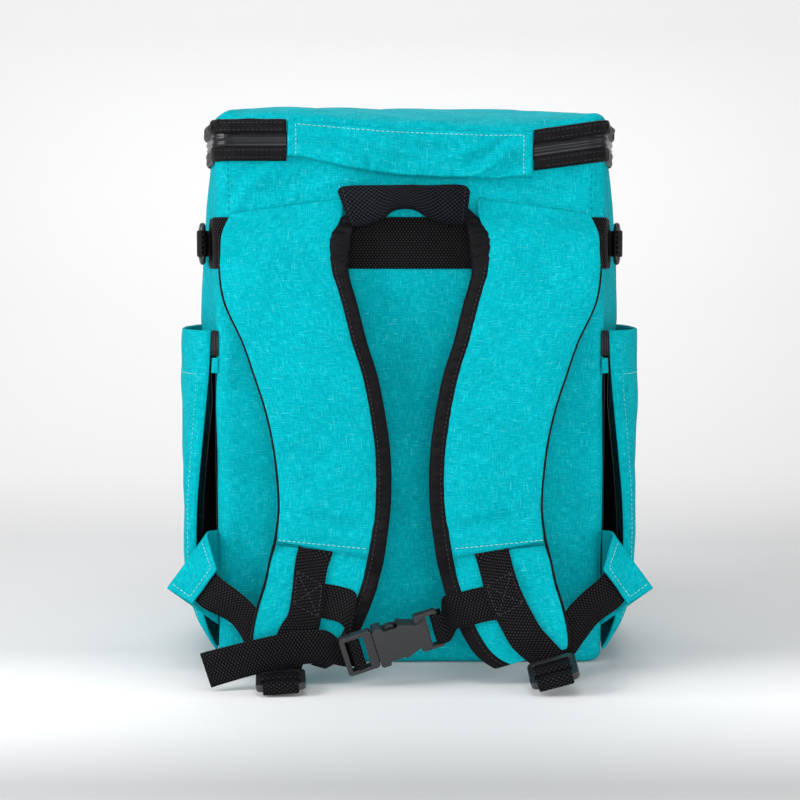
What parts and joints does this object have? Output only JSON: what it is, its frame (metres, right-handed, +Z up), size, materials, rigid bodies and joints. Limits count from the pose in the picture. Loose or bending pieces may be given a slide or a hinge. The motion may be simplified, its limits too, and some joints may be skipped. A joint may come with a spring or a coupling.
{
  "type": "soft cooler backpack",
  "caption": "Upright insulated soft cooler with a zipped lid, side pockets, a carry handle and padded shoulder straps joined by a chest buckle.",
  "frame": {"origin": "centre of the flat base, on the surface that the bag stands on", "axes": "+Z up, -Y towards the shoulder straps, +X to the right of someone who looks at the straps"},
  "size_m": [0.359, 0.3135, 0.421],
  "materials": {
    "teal_fabric": "heathered coated polyester, matte with a slight sheen",
    "black_fabric": "woven nylon lining and binding tape",
    "zip_coating": "satin polyurethane coating on the zip tape",
    "webbing": "ribbed black nylon webbing",
    "spacer_mesh": "black open spacer mesh",
    "moulded_plastic": "satin black moulded plastic"
  },
  "bodies": {
    "root": {"body_tub": "teal_fabric", "lid": "teal_fabric", "lid_hinge_panel": "teal_fabric", "tub_binding": "black_fabric", "zip_tape": "zip_coating", "lid_binding": "black_fabric", "zip_slider": "moulded_plastic", "load_webbing": "webbing", "side_ring_left": "moulded_plastic", "side_ring_right": "moulded_plastic", "ring_loop_left": "webbing", "ring_loop_right": "webbing", "strap_pad_left": "teal_fabric", "strap_pad_right": "teal_fabric", "strap_tail_left": "teal_fabric", "strap_tail_right": "teal_fabric", "strap_inner_binding_left": "black_fabric", "strap_inner_binding_right": "black_fabric", "strap_outer_binding_left": "black_fabric", "strap_outer_binding_right": "black_fabric", "carry_handle": "spacer_mesh", "side_pocket_left": "teal_fabric", "side_pocket_right": "teal_fabric", "pocket_gusset_left": "black_fabric", "pocket_gusset_right": "black_fabric", "gusset_elastic_left": "webbing", "gusset_elastic_right": "webbing", "gusset_tab_left": "teal_fabric", "gusset_tab_right": "teal_fabric", "anchor_wing_left": "teal_fabric", "anchor_wing_right": "teal_fabric", "ladder_lock_left": "moulded_plastic", "ladder_lock_right": "moulded_plastic", "shoulder_webbing_left": "webbing", "shoulder_webbing_right": "webbing", "anchor_webbing_left": "webbing", "anchor_webbing_right": "webbing", "buckle_socket": "moulded_plastic", "buckle_plug": "moulded_plastic", "sternum_webbing_right": "webbing", "sternum_webbing_left": "webbing", "sternum_tail_fold": "webbing"}
  },
  "joints": []
}
